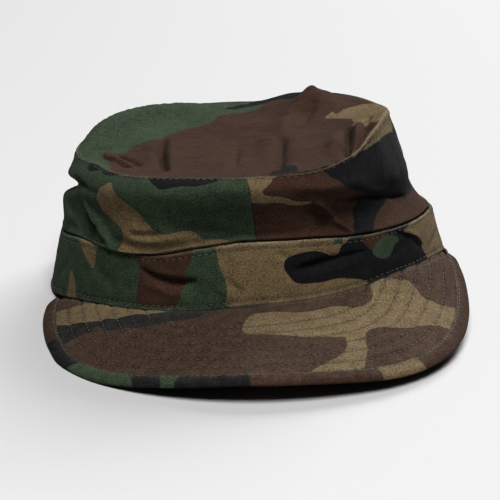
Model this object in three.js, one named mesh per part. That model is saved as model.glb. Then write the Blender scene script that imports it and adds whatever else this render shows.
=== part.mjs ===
// Military field cap of camouflage cotton twill, lying as a soft cap lies when it is put down on a table.
// Lengths are in millimetres. +Z is up, the table is z = 0, and the peak points along -Y.
// A turn is an angle round the crown in degrees: 0 at the front, +90 at the +X side, 180 at the back.
import * as THREE from "three";

const BAND_THICKNESS = 2.2;
const PANEL_THICKNESS = 1.6;
const PEAK_THICKNESS = 1.6;
const PEAK_REACH = 60;
const PEAK_CAMBER = 1.2;
const BINDING_THICKNESS = 1;
const BINDING_WIDTH = 6;
const SEAM_GAP = 0.3;
const LAP_BEHIND_BAND = 5;

// Where the crown stands between the bounds of the whole cap.
const CROWN_AXIS_X = -1.6;
const CROWN_AXIS_Y = 31.4;

// Turns at which the two side panels meet, front and back.
const FRONT_SEAM = -0.6;
const REAR_SEAM = 180;
const SEAM_HALF_TURN = 0.12;

// How the pieces are divided into flat faces.
const TURN_STEP = 5;
const PEAK_TURN_STEP = 2.5;
const BAND_ROWS = 6;
const PANEL_ROWS = 11;
const TOP_ROWS = 9;
const PEAK_ROWS = 6;

// One upright section of the crown per row. Out is measured from the crown's axis and up from the table, at the
// band's lower edge (rim), its upper edge (band), the hollow above it (mid), the bulge (shoulder) and the top seam.
const SECTIONS = [
  { turn: -150, rimOut: 91, rimUp: 0, bandOut: 88.5, bandUp: 28, midOut: 88, midUp: 42,
    shoulderOut: 87, shoulderUp: 57, seamOut: 82, seamUp: 71 },
  { turn: -120, rimOut: 94.5, rimUp: 0, bandOut: 91.5, bandUp: 27, midOut: 89, midUp: 42,
    shoulderOut: 87, shoulderUp: 57, seamOut: 80.5, seamUp: 70 },
  { turn: -90, rimOut: 95.8, rimUp: 0, bandOut: 92.5, bandUp: 28, midOut: 90, midUp: 44,
    shoulderOut: 85.5, shoulderUp: 57.5, seamOut: 81, seamUp: 66 },
  { turn: -75, rimOut: 94, rimUp: 0, bandOut: 91.5, bandUp: 32.5, midOut: 88, midUp: 47,
    shoulderOut: 88, shoulderUp: 60, seamOut: 83, seamUp: 68.5 },
  { turn: -60, rimOut: 92.6, rimUp: 4.7, bandOut: 90.5, bandUp: 37.5, midOut: 88, midUp: 50,
    shoulderOut: 90, shoulderUp: 63, seamOut: 86, seamUp: 71.5 },
  { turn: -45, rimOut: 92, rimUp: 8.5, bandOut: 90, bandUp: 39.5, midOut: 90, midUp: 52,
    shoulderOut: 92, shoulderUp: 66, seamOut: 89, seamUp: 73.3 },
  { turn: -30, rimOut: 92, rimUp: 11.4, bandOut: 90, bandUp: 40.5, midOut: 93, midUp: 54,
    shoulderOut: 95.5, shoulderUp: 69, seamOut: 92, seamUp: 76.7 },
  { turn: -15, rimOut: 92, rimUp: 14.3, bandOut: 90, bandUp: 46, midOut: 92.5, midUp: 59,
    shoulderOut: 97, shoulderUp: 73, seamOut: 93, seamUp: 79.3 },
  { turn: 0, rimOut: 92, rimUp: 18.1, bandOut: 89.5, bandUp: 50, midOut: 92, midUp: 62,
    shoulderOut: 97, shoulderUp: 74, seamOut: 93, seamUp: 80.5 },
  { turn: 15, rimOut: 92, rimUp: 19.6, bandOut: 89.5, bandUp: 50.2, midOut: 90, midUp: 62,
    shoulderOut: 95, shoulderUp: 75, seamOut: 92, seamUp: 81.3 },
  { turn: 30, rimOut: 92, rimUp: 21.8, bandOut: 89, bandUp: 48.6, midOut: 84, midUp: 60,
    shoulderOut: 88, shoulderUp: 75, seamOut: 86, seamUp: 85 },
  { turn: 45, rimOut: 92, rimUp: 24.2, bandOut: 88, bandUp: 47.3, midOut: 79, midUp: 58.5,
    shoulderOut: 81, shoulderUp: 70, seamOut: 76, seamUp: 91 },
  { turn: 60, rimOut: 92, rimUp: 24, bandOut: 86, bandUp: 45.5, midOut: 76, midUp: 55,
    shoulderOut: 76.5, shoulderUp: 68, seamOut: 67, seamUp: 90.5 },
  { turn: 75, rimOut: 91.5, rimUp: 20.6, bandOut: 84.5, bandUp: 43.5, midOut: 75, midUp: 51.5,
    shoulderOut: 73, shoulderUp: 65, seamOut: 63.5, seamUp: 89 },
  { turn: 90, rimOut: 90.5, rimUp: 14.4, bandOut: 84.5, bandUp: 39, midOut: 75, midUp: 49,
    shoulderOut: 70.5, shoulderUp: 63, seamOut: 62.5, seamUp: 86 },
  { turn: 120, rimOut: 90.5, rimUp: 0, bandOut: 86, bandUp: 33, midOut: 79, midUp: 46,
    shoulderOut: 77, shoulderUp: 62, seamOut: 70, seamUp: 79 },
  { turn: 150, rimOut: 90, rimUp: 0, bandOut: 87.5, bandUp: 30, midOut: 85, midUp: 44,
    shoulderOut: 84, shoulderUp: 60, seamOut: 80, seamUp: 76.5 },
  { turn: 180, rimOut: 90, rimUp: 0, bandOut: 88, bandUp: 29, midOut: 88, midUp: 43,
    shoulderOut: 88, shoulderUp: 57, seamOut: 83, seamUp: 68 },
];

// Folds and dents pressed into the wall of the crown. Long runs along the fold and wide across it; slant is the
// rise of the fold in degrees towards larger turns, and depth is positive for a ridge.
const WALL_FOLDS = [
  { turn: -95, up: 51.5, long: 26, wide: 3.6, slant: 0, depth: -6 },
  { turn: -56, up: 51, long: 12, wide: 8, slant: -20, depth: -4 },
  { turn: -51, up: 46, long: 13, wide: 4, slant: -48, depth: 2.4 },
  { turn: -72, up: 42, long: 10, wide: 4, slant: -45, depth: 2 },
  { turn: -29, up: 47, long: 20, wide: 6, slant: 4, depth: 3.5 },
  { turn: 20, up: 60, long: 20, wide: 4.5, slant: -20, depth: -2 },
  { turn: 24, up: 73, long: 16, wide: 8, slant: 10, depth: 2 },
  { turn: -22, up: 29.5, long: 16, wide: 4, slant: -9, depth: -1.8 },
  { turn: 20, up: 38.5, long: 15, wide: 4, slant: 4, depth: -2 },
];

// The crown's top as a tilted plane with a hollow in it, and the folds in it, from the crown's axis.
const TOP_PLANE_UP = 75.5;
const TOP_RISE_TO_RIGHT = 0.11;
const TOP_FALL_TO_BACK = 0.05;
const TOP_SAG = 6;
const TOP_FOLDS = [
  { x: -38, y: -62, long: 12, wide: 4, slant: 80, lift: 1.5 },
  { x: -12, y: -58, long: 12, wide: 4, slant: 75, lift: 1.5 },
  { x: 8, y: -56, long: 14, wide: 5, slant: 80, lift: -1.5 },
  { x: 44, y: -44, long: 18, wide: 5, slant: 55, lift: -3 },
  { x: 32, y: 58, long: 20, wide: 9, slant: 100, lift: 5 },
  { x: -66, y: -30, long: 16, wide: 5, slant: 125, lift: -1.5 },
];

// The peak's outer edge, one row per turn: distance from the crown's axis, and height of its underside.
const PEAK_EDGE = [
  { turn: -80, out: 95.6, up: -0.7 },
  { turn: -75, out: 97.4, up: -0.7 },
  { turn: -65, out: 105, up: -0.7 },
  { turn: -55, out: 114.2, up: -0.7 },
  { turn: -45, out: 125.8, up: -0.7 },
  { turn: -38, out: 135, up: -0.7 },
  { turn: -30, out: 141.6, up: -0.7 },
  { turn: -22, out: 146, up: 1.2 },
  { turn: -15, out: 149, up: 4 },
  { turn: -8, out: 151.4, up: 6.6 },
  { turn: 0, out: 152.6, up: 8.4 },
  { turn: 8, out: 151.6, up: 7.9 },
  { turn: 15, out: 150, up: 6.6 },
  { turn: 22, out: 148.4, up: 5 },
  { turn: 30, out: 144.2, up: 4 },
  { turn: 38, out: 137.2, up: 4 },
  { turn: 45, out: 129.2, up: 4.4 },
  { turn: 55, out: 118, up: 6 },
  { turn: 65, out: 108.2, up: 9.5 },
  { turn: 75, out: 100.4, up: 13.5 },
  { turn: 80, out: 95.6, up: 16 },
];
const PEAK_END_TURN = 73;
const BINDING_END_TURN = 77;

const TWILL = {
  green: 0x4a5a42,
  brown: 0x5c4a3d,
  tan: 0x8a785a,
  black: 0x2c2a2c,
};

const rad = THREE.MathUtils.degToRad;

// Slope at a table's value that never makes the curve overshoot its rows.
function limitedSlope(before, after) {
  return before * after <= 0 ? 0 : (2 * before * after) / (before + after);
}

// A smooth curve through one column of a table, against its turns. A closed table goes on round the crown.
function columnCurve(rows, column, closed) {
  const extended = closed
    ? [
        ...rows.slice(-2).map((r) => ({ ...r, turn: r.turn - 360 })),
        ...rows,
        ...rows.slice(0, 2).map((r) => ({ ...r, turn: r.turn + 360 })),
      ]
    : rows;
  const at = extended.map((r) => r.turn);
  const value = extended.map((r) => r[column]);
  const rise = at.slice(1).map((t, i) => (value[i + 1] - value[i]) / (t - at[i]));
  const slope = at.map((_, i) =>
    i === 0 || i === at.length - 1
      ? rise[Math.min(i, rise.length - 1)]
      : limitedSlope(rise[i - 1], rise[i]),
  );
  return (turn) => {
    let i = 0;
    while (i < at.length - 2 && turn > at[i + 1]) i++;
    const span = at[i + 1] - at[i];
    const t = Math.min(1, Math.max(0, (turn - at[i]) / span));
    const endWeight = t * t * (3 - 2 * t);
    const startPull = t * (1 - t) * (1 - t) * span * slope[i];
    const endPull = t * t * (1 - t) * span * slope[i + 1];
    return value[i] * (1 - endWeight) + value[i + 1] * endWeight + startPull - endPull;
  };
}

const sectionCurves = Object.fromEntries(
  Object.keys(SECTIONS[0])
    .filter((column) => column !== "turn")
    .map((column) => [column, columnCurve(SECTIONS, column, true)]),
);
const peakOut = columnCurve(PEAK_EDGE, "out", false);
const peakUp = columnCurve(PEAK_EDGE, "up", false);

// Turns are kept between -180 and 180.
function wrap(turn) {
  return turn - 360 * Math.round(turn / 360);
}

function ring(turn, name) {
  const t = wrap(turn);
  return { out: sectionCurves[name + "Out"](t), up: sectionCurves[name + "Up"](t) };
}

// A point of the crown from its turn, its distance from the axis and its height.
function place(turn, out, up) {
  return new THREE.Vector3(
    CROWN_AXIS_X + out * Math.sin(rad(turn)),
    CROWN_AXIS_Y - out * Math.cos(rad(turn)),
    up,
  );
}

// How far the folds push the wall out at a turn and a height.
function foldDepth(turn, out, up) {
  return WALL_FOLDS.reduce((sum, fold) => {
    const across = rad(wrap(turn - fold.turn)) * out;
    const above = up - fold.up;
    const along = across * Math.cos(rad(fold.slant)) + above * Math.sin(rad(fold.slant));
    const beside = above * Math.cos(rad(fold.slant)) - across * Math.sin(rad(fold.slant));
    return sum + fold.depth * Math.exp(-((along / fold.long) ** 2) - (beside / fold.wide) ** 2);
  }, 0);
}

// Outer surface of the band: t is 0 at its lower edge and 1 at its upper edge.
function bandSurface(turn, t) {
  const rim = ring(turn, "rim");
  const top = ring(turn, "band");
  const out = rim.out + (top.out - rim.out) * t;
  const up = rim.up + (top.up - rim.up) * t;
  const free = Math.sin(Math.PI * t);
  return place(turn, out + free * foldDepth(turn, out, up), up);
}

// A curve through four knots, evenly spaced, used from the first knot (t = 0) to the last (t = 1).
function throughKnots(knots, t) {
  const scaled = t * (knots.length - 1);
  const i = Math.min(knots.length - 2, Math.floor(scaled));
  const s = scaled - i;
  const [p0, p1, p2, p3] = [i - 1, i, i + 1, i + 2].map(
    (k) => knots[Math.min(knots.length - 1, Math.max(0, k))],
  );
  return (
    p1 +
    0.5 * s * (p2 - p0 + s * (2 * p0 - 5 * p1 + 4 * p2 - p3 + s * (3 * (p1 - p2) + p3 - p0)))
  );
}

// Outer surface of the side panels above the band: t is 0 where it comes out of the band, 1 at the top seam.
function panelSurface(turn, t) {
  const inset = BAND_THICKNESS + SEAM_GAP;
  const band = ring(turn, "band");
  const mid = ring(turn, "mid");
  const shoulder = ring(turn, "shoulder");
  const seam = ring(turn, "seam");
  const out = throughKnots([band.out - inset, mid.out, shoulder.out, seam.out], t);
  const up = throughKnots([band.up + SEAM_GAP, mid.up, shoulder.up, seam.up], t);
  const free = Math.min(1, 5 * t) * Math.min(1, 6 * (1 - t));
  return place(turn, out + free * foldDepth(turn, out, up), up);
}

// Unit normal of a surface of (turn, t), pointing away from the crown's axis.
function normalOf(surface, turn, t) {
  const low = Math.max(0, t - 0.02);
  const high = Math.min(1, t + 0.02);
  const along = surface(turn + 1, t).sub(surface(turn - 1, t));
  const upward = surface(turn, high).sub(surface(turn, low));
  return along.cross(upward).normalize();
}

// The surface's point moved in by a thickness.
function inside(surface, turn, t, depth) {
  return surface(turn, t).addScaledVector(normalOf(surface, turn, t), -depth);
}

function steps(count) {
  return Array.from({ length: count + 1 }, (_, i) => i / count);
}

// A closed solid from sections that follow one another. Each section is a strip with a face row and a back row.
function loft(sections, closed) {
  const corners = [];
  const triangle = (a, b, c) => {
    const flat =
      a.distanceTo(b) < 1e-3 || b.distanceTo(c) < 1e-3 || c.distanceTo(a) < 1e-3;
    if (!flat) corners.push(...a.toArray(), ...b.toArray(), ...c.toArray());
  };
  const quad = (a, b, c, d) => {
    triangle(a, b, c);
    triangle(a, c, d);
  };
  const loops = sections.map((s) => [...s.face, ...[...s.back].reverse()]);
  const size = loops[0].length;
  const pairs = closed ? loops.length : loops.length - 1;
  for (let i = 0; i < pairs; i++) {
    const here = loops[i];
    const next = loops[(i + 1) % loops.length];
    for (let k = 0; k < size; k++) {
      const l = (k + 1) % size;
      quad(here[k], next[k], next[l], here[l]);
    }
  }
  if (!closed) {
    const first = sections[0];
    const last = sections[sections.length - 1];
    for (let k = 0; k + 1 < first.face.length; k++) {
      quad(first.face[k], first.face[k + 1], first.back[k + 1], first.back[k]);
      quad(last.face[k + 1], last.face[k], last.back[k], last.back[k + 1]);
    }
  }
  const geometry = new THREE.BufferGeometry();
  geometry.setAttribute("position", new THREE.Float32BufferAttribute(corners, 3));
  geometry.computeVertexNormals();
  return geometry;
}

function cloth(name, geometry, color) {
  const material = new THREE.MeshStandardMaterial({ color, roughness: 0.92, metalness: 0 });
  const mesh = new THREE.Mesh(geometry, material);
  mesh.name = name;
  return mesh;
}

// Evenly spaced turns from one to another.
function turnsBetween(from, to, step = TURN_STEP) {
  const count = Math.round((to - from) / step);
  return steps(count).map((s) => from + (to - from) * s);
}

// The band all round the head opening. Its lower edge is flat, so that it can rest on the table.
function makeBand() {
  const turns = turnsBetween(-180, 180).slice(0, -1);
  const sections = turns.map((turn) => {
    const face = steps(BAND_ROWS).map((t) => bandSurface(turn, t));
    const back = steps(BAND_ROWS).map((t) => inside(bandSurface, turn, t, BAND_THICKNESS));
    back[0].z = face[0].z;
    return { face, back };
  });
  return cloth("band", loft(sections, true), TWILL.tan);
}

// One side panel, from the lap behind the band up to the mitred edge at the top seam.
function makeSidePanel(name, from, to, color) {
  const sections = turnsBetween(from, to).map((turn) => {
    const rim = ring(turn, "rim");
    const band = ring(turn, "band");
    const lap = 1 - LAP_BEHIND_BAND / (band.up - rim.up);
    const inset = BAND_THICKNESS + SEAM_GAP;
    const rows = steps(PANEL_ROWS).slice(1);
    const face = [
      inside(bandSurface, turn, lap, inset),
      inside(bandSurface, turn, 1, inset),
      ...rows.map((t) => panelSurface(turn, t)),
    ];
    const back = [
      inside(bandSurface, turn, lap, inset + PANEL_THICKNESS),
      inside(bandSurface, turn, 1, inset + PANEL_THICKNESS),
      ...rows.slice(0, -1).map((t) => inside(panelSurface, turn, t, PANEL_THICKNESS)),
      seamCorner(turn, PANEL_THICKNESS),
    ];
    return { face, back };
  });
  return cloth(name, loft(sections, false), color);
}

// A point under the top seam, where the inner faces of the side panels and of the top would meet.
function seamCorner(turn, depth) {
  const seam = ring(turn, "seam");
  return place(turn, seam.out - depth, seam.up - depth);
}

// How far the folds lift the crown's top at a point measured from the crown's axis.
function topFoldLift(x, y) {
  return TOP_FOLDS.reduce((sum, fold) => {
    const along = (x - fold.x) * Math.cos(rad(fold.slant)) + (y - fold.y) * Math.sin(rad(fold.slant));
    const beside = (y - fold.y) * Math.cos(rad(fold.slant)) - (x - fold.x) * Math.sin(rad(fold.slant));
    return sum + fold.lift * Math.exp(-((along / fold.long) ** 2) - (beside / fold.wide) ** 2);
  }, 0);
}

// Upper surface of the crown's top: s is 0 at its middle and 1 at the seam.
function topSurface(turn, s) {
  const seam = ring(turn, "seam");
  const edge = place(turn, seam.out, seam.up);
  const plane = (x, y) =>
    TOP_PLANE_UP + x * TOP_RISE_TO_RIGHT - y * TOP_FALL_TO_BACK;
  const x = (edge.x - CROWN_AXIS_X) * s;
  const y = (edge.y - CROWN_AXIS_Y) * s;
  const toEdge = edge.z - plane(edge.x - CROWN_AXIS_X, edge.y - CROWN_AXIS_Y);
  const free = Math.min(1, 5 * (1 - s));
  const up = plane(x, y) + toEdge * s ** 3 - TOP_SAG * (1 - s * s) + free * topFoldLift(x, y);
  return new THREE.Vector3(CROWN_AXIS_X + x, CROWN_AXIS_Y + y, up);
}

// The top panel. Its edge is mitred against the side panels, a seam's gap away from them.
function makeCrownTop() {
  const sections = turnsBetween(-180, 180)
    .slice(0, -1)
    .map((turn) => {
      const inward = place(turn, -1, 0).sub(place(turn, 0, 0));
      const gap = inward.multiplyScalar(SEAM_GAP).setZ(SEAM_GAP);
      const rows = steps(TOP_ROWS).slice(0, -1);
      const face = [...rows.map((s) => topSurface(turn, s)), topSurface(turn, 1).add(gap)];
      const back = [
        ...rows.map((s) => topSurface(turn, s).setZ(topSurface(turn, s).z - PANEL_THICKNESS)),
        seamCorner(turn, PANEL_THICKNESS).add(gap),
      ];
      return { face: face.reverse(), back: back.reverse() };
    });
  return cloth("crown_top", loft(sections, true), TWILL.brown);
}

// The peak's edge line in plan, moved in by a distance square to the edge.
function peakEdge(turn, inset) {
  const point = place(turn, peakOut(turn), 0);
  const after = place(turn + 0.5, peakOut(turn + 0.5), 0);
  const before = place(turn - 0.5, peakOut(turn - 0.5), 0);
  const along = after.sub(before).normalize();
  return point.add(new THREE.Vector3(-along.y, along.x, 0).multiplyScalar(inset));
}

// Height of the peak's upper surface over a point of the plan.
function peakSurfaceUp(point) {
  const x = point.x - CROWN_AXIS_X;
  const y = point.y - CROWN_AXIS_Y;
  const turn = THREE.MathUtils.radToDeg(Math.atan2(x, -y));
  const rim = ring(turn, "rim");
  const reach = peakOut(turn) - rim.out;
  const t = (Math.hypot(x, y) - rim.out) / reach;
  const camber = PEAK_CAMBER * (reach / PEAK_REACH) ** 2 * 4 * t * (1 - t);
  const underside = rim.up + (peakUp(turn) - rim.up) * t + camber;
  return underside + BINDING_THICKNESS + SEAM_GAP + PEAK_THICKNESS;
}

function onPeak(point, lift) {
  return new THREE.Vector3(point.x, point.y, peakSurfaceUp(point) + lift);
}

// The stiff peak under its cloth, from the band's face to just inside the binding.
function makePeak() {
  const sections = turnsBetween(-PEAK_END_TURN, PEAK_END_TURN, PEAK_TURN_STEP).map((turn) => {
    const root = bandSurface(turn, 0).add(place(turn, SEAM_GAP, 0).sub(place(turn, 0, 0)));
    const edge = peakEdge(turn, BINDING_THICKNESS + SEAM_GAP);
    const plan = steps(PEAK_ROWS).map((t) => root.clone().lerp(edge, t));
    return {
      face: plan.map((p) => onPeak(p, 0)).reverse(),
      back: plan.map((p) => onPeak(p, -PEAK_THICKNESS)).reverse(),
    };
  });
  return cloth("peak", loft(sections, false), TWILL.brown);
}

// The folded strip round the peak's edge: over the upper face, round the edge and back under the lower face.
function makePeakBinding() {
  const sections = turnsBetween(-BINDING_END_TURN, BINDING_END_TURN, PEAK_TURN_STEP).map((turn) => {
    const band = bandSurface(turn, 0);
    const room = peakEdge(turn, 0).distanceTo(band.setZ(0)) - 2 * SEAM_GAP;
    const width = Math.min(BINDING_WIDTH, room);
    const clear = BINDING_THICKNESS + SEAM_GAP;
    const below = -PEAK_THICKNESS - clear;
    const middle = -PEAK_THICKNESS / 2;
    const row = (inset, lift) => onPeak(peakEdge(turn, inset), lift);
    const restingRow = (inset) => row(inset, below).setZ(Math.max(0, row(inset, below).z));
    const bulge = BINDING_THICKNESS;
    return {
      face: [
        restingRow(width),
        restingRow(clear),
        row(0, middle - bulge),
        row(0, middle + bulge),
        row(clear, clear),
        row(width, clear),
      ],
      back: [
        row(width, -PEAK_THICKNESS - SEAM_GAP),
        row(clear, -PEAK_THICKNESS - SEAM_GAP),
        row(BINDING_THICKNESS, middle - bulge),
        row(BINDING_THICKNESS, middle + bulge),
        row(clear, SEAM_GAP),
        row(width, SEAM_GAP),
      ],
    };
  });
  return cloth("peak_binding", loft(sections, false), TWILL.black);
}

const cap = new THREE.Group();
cap.name = "military_field_cap";
cap.add(makeBand());
cap.add(
  makeSidePanel(
    "side_panel_left",
    -REAR_SEAM + SEAM_HALF_TURN,
    FRONT_SEAM - SEAM_HALF_TURN,
    TWILL.green,
  ),
);
cap.add(
  makeSidePanel(
    "side_panel_right",
    FRONT_SEAM + SEAM_HALF_TURN,
    REAR_SEAM - SEAM_HALF_TURN,
    TWILL.black,
  ),
);
cap.add(makeCrownTop());
cap.add(makePeak());
cap.add(makePeakBinding());

export default cap;
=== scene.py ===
"""A soft field cap in woodland camouflage twill: the sewn cloth, its stitching and a plain studio."""

import bpy
import numpy as np
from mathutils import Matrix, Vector, kdtree, noise


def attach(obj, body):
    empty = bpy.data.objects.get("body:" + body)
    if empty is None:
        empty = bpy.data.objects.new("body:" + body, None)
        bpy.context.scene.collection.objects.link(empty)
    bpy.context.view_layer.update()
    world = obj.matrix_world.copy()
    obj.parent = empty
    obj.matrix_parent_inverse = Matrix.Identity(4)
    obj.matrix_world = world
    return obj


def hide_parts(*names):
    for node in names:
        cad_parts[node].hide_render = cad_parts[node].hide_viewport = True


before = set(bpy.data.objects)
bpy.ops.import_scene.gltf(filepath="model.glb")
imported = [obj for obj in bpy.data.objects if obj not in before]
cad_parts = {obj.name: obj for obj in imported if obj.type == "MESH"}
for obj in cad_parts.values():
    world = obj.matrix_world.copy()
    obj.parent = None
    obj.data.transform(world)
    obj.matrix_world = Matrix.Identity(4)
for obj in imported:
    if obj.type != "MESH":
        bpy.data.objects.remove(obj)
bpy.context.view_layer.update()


# The band
# A strip of camouflage twill folded lengthwise and sewn round the foot of the crown.
# Both edges are folds, so they are round; the top fold stands a little proud of the walls.

# Lengths are millimetres. A turn is degrees round the crown: 0 in front, 90 at +X, 180 behind.
CROWN_AXIS = (-1.6, 31.4)
ALONG_PER_DEGREE = 1.5708
MILLIMETRE = 0.001
BAND_THICKNESS = 1.9
BAND_CUT_HEIGHT = 31
BAND_COLUMNS = 481
BAND_ROWS = 34
STITCHES_FROM_EDGE = 3

# In front the rim is lifted onto the peak's root; at both ends of it the lift fades over some degrees.
RIM_ON_PEAK = 3.7
RIM_LIFT_FROM, RIM_LIFT_TO = -82, 89
RIM_FADE_LEFT, RIM_FADE_RIGHT = 9, 8

# The part in view has the charted print, and what is turned further away has the scattered one.
SEEN_TO_TURN = 95

BAND_SHAPE = (
    # turn, rim out, root up, top out, top up
    (-150, 91, 0, 88.5, 28),
    (-120, 94.5, 0, 91.5, 27),
    (-90, 95.8, 0, 89.8, 28),
    (-75, 94, 0, 89.7, 32.5),
    (-60, 92.6, 4.7, 90.5, 37.5),
    (-45, 92, 8.5, 90, 39.5),
    (-30, 92, 11.4, 90, 40.5),
    (-15, 92, 14.3, 90, 46),
    (0, 92, 18.1, 89.5, 50),
    (15, 92, 19.6, 89.5, 50.2),
    (30, 92, 21.8, 89, 48.6),
    (45, 92, 24.2, 88, 47.3),
    (60, 92, 24, 86, 45.5),
    (75, 91.5, 20.6, 84.5, 43.5),
    (90, 90.5, 14.4, 84.5, 39),
    (120, 90.5, 0, 86, 33),
    (150, 90, 0, 87.5, 30),
    (180, 90, 0, 88, 29),
)

WALL_FOLDS = (
    # turn, up, long, wide, slant in degrees, depth outwards
    (-90, 50.5, 44, 2.9, 14, -9),
    (-56, 51, 12, 8, -20, -4),
    (-51, 46, 13, 4, -48, 2.4),
    (-72, 42, 10, 4, -45, 2),
    (-29, 47, 20, 6, 4, 3.5),
    (30, 58, 22, 3.5, -12, -2.2),
    (24, 73, 16, 8, 10, 2),
    (-22, 29.5, 16, 4, -9, -1.8),
    (20, 38.5, 15, 4, 4, -2),
)

BAND_CREASES = (
    # from along, from up, to along, to up, wide, depth outwards
    (-51, 22.5, -43, 17, 1.2, -1.6),
    (-43, 17, -34, 13.5, 1.4, -2.4),
    (-34, 13.5, -25, 15, 1.5, -2.4),
    (-46, 23, -31, 18, 1.8, 1.2),
    (-48, 15, -30, 8, 2.4, 0.9),
    (-11, 14, -5, 7, 1.2, -1.2),
    (-14, 12, -8, 4, 2, 0.6),
    (-60, 12, -56, 10, 1.4, -0.6),
    (19, 16, 31, 18, 1.2, -1.7),
    (31, 18, 40, 20, 1.2, -1.7),
    (40, 20, 53, 21, 1.3, -1.4),
    (20, 12, 50, 16, 2.4, 0.9),
    (21, 20, 31, 22, 1.6, 0.9),
    (74, 28, 85, 19, 1.3, -1.5),
    (85, 19, 91, 11, 1.3, -1.3),
    (80, 28, 91, 19, 1.8, 0.9),
    (11, 26, 15, 22, 1.2, -0.9),
    (-80, 20, -66, 9, 3, -0.7),
    (68, 12, 82, 20, 2.4, -0.8),
    (100, 8, 118, 16, 2.6, -0.7),
    (-118, 10, -104, 18, 2.6, -0.7),
    (150, 20, 176, 12, 3, -0.7),
    (-190, 9, -160, 18, 3, -0.7),
    (215, 18, 240, 9, 3, -0.7),
    (-255, 17, -228, 10, 3, -0.6),
)

BAND_PATCHES = (
    ("tan", (
        (-94, 33), (-93, 31), (-77, 31), (-75, 33), (-79, 27), (-80, 21), (-82, 17), (-85, 21),
        (-90, 25), (-93, 28),
    )),
    ("tan", ((-101, 15), (-103, 8), (-104, -2), (-94, -2), (-95, 6), (-98, 13))),
    ("brown", (
        (-56, 29), (-52, 24), (-52, 20), (-53, 14), (-54, 2), (-34, 2), (-31, 8), (-30, 13),
        (-30, 18), (-28, 23), (-26, 27), (-25, 34), (-48, 34),
    )),
    ("tan", (
        (-17, 34), (-15, 26), (-14, 20), (-12, 16), (-11, 11), (-11, -3), (21, -3), (130, -3),
        (130, 6), (132, 22), (125, 30), (101, 34),
    )),
    ("black", (
        (40, 27), (43, 28), (48, 34), (90, 34), (82, 29), (78, 27), (84, 24), (90, 20), (93, 14),
        (91, 12), (92, 7), (94, 3), (95, -3), (54, -3), (53, 3), (46, 7), (38, 9), (30, 8), (21, 9),
        (17, 11), (14, 17), (14, 21), (16, 23), (20, 25), (26, 25), (31, 24), (36, 21), (39, 20),
    )),
    ("brown", ((49, 31), (66, 31), (66, 26), (62, 23), (58, 20), (55, 21), (53, 25))),
    ("green", ((35, 33), (42, 33), (41, 27), (37, 28))),
    ("green", (
        (62, 28), (72, 27), (75, 22), (73, 21), (70, 20), (68, 15), (66, 12), (62, 13), (58, 16),
        (56, 20),
    )),
)


def curve_through(table, column, closed=True):
    """A smooth curve of the turn through one column of a table, without overshoot."""
    rows = list(table)
    if closed:
        before = [(r[0] - 360, *r[1:]) for r in rows[-2:]]
        after = [(r[0] + 360, *r[1:]) for r in rows[:2]]
        rows = before + rows + after
    at = np.array([r[0] for r in rows], float)
    value = np.array([r[column] for r in rows], float)
    rise = np.diff(value) / np.diff(at)
    slope = np.concatenate((rise[:1], np.zeros(len(rows) - 2), rise[-1:]))
    goes_on = rise[:-1] * rise[1:] > 0
    slope[1:-1][goes_on] = 2 * (rise[:-1] * rise[1:])[goes_on] / (rise[:-1] + rise[1:])[goes_on]

    def curve(turn):
        turn = turn - 360 * np.round(turn / 360) if closed else turn
        i = np.clip(np.searchsorted(at, turn) - 1, 0, len(at) - 2)
        span = at[i + 1] - at[i]
        t = np.clip((turn - at[i]) / span, 0, 1)
        ends = value[i] + (value[i + 1] - value[i]) * t * t * (3 - 2 * t)
        return ends + span * t * (1 - t) * (slope[i] * (1 - t) - slope[i + 1] * t)

    return curve


rim_out, root_up, band_out, band_up = (curve_through(BAND_SHAPE, column) for column in (1, 2, 3, 4))


def rim_up(turn):
    """The height of the band's lower fold, which rests on the peak's root in front."""
    turn = turn - 360 * np.round(turn / 360)
    left = (turn - RIM_LIFT_FROM) / RIM_FADE_LEFT
    right = (RIM_LIFT_TO - turn) / RIM_FADE_RIGHT
    return root_up(turn) + RIM_ON_PEAK * np.clip(np.where(turn < 0, left, right), 0, 1)


def place(turn, out, up):
    """Points of the crown at a turn, out from its axis and up from the table."""
    angle = np.radians(turn)
    x = CROWN_AXIS[0] + out * np.sin(angle)
    y = CROWN_AXIS[1] - out * np.cos(angle)
    return np.stack(np.broadcast_arrays(x, y, up), axis=-1)


def ridge(away, wide):
    """A rounded ridge: 1 along its line and nothing beyond about twice its width."""
    return np.exp(-((away / wide) ** 2))


def fold_depth(turn, out, up):
    """How far the broad folds push a point of the wall outwards."""
    depth = 0
    for at, height, long, wide, slant, deep in WALL_FOLDS:
        away = turn - at
        across = np.radians(away - 360 * np.round(away / 360)) * out
        above = up - height
        cos, sin = np.cos(np.radians(slant)), np.sin(np.radians(slant))
        depth = depth + deep * np.exp(
            -(((across * cos + above * sin) / long) ** 2) - ((above * cos - across * sin) / wide) ** 2
        )
    return depth


def crease_depth(creases, x, y):
    """How far fine creases push the cloth outwards; each runs straight between two points of it."""
    depth = 0
    for x0, y0, x1, y1, wide, deep in creases:
        run = (x1 - x0) ** 2 + (y1 - y0) ** 2
        t = np.clip(((x - x0) * (x1 - x0) + (y - y0) * (y1 - y0)) / run, 0, 1)
        away = np.hypot(x - x0 - t * (x1 - x0), y - y0 - t * (y1 - y0))
        fading = 1 - 0.75 * (2 * t - 1) ** 4
        depth = depth + deep * fading * ridge(away, wide)
    return depth


def soft_noise(points, size):
    """Smooth noise from -1 to 1 whose bumps are about size millimetres across."""
    flat = points.reshape(-1, points.shape[-1]) / size
    return np.array([noise.noise(Vector(p)) for p in flat]).reshape(points.shape[:-1])


def rumple(points, *waves):
    """The slight unevenness of soft cloth; each wave has a depth and a size."""
    return sum(depth * soft_noise(points, size) for depth, size in waves)


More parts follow.
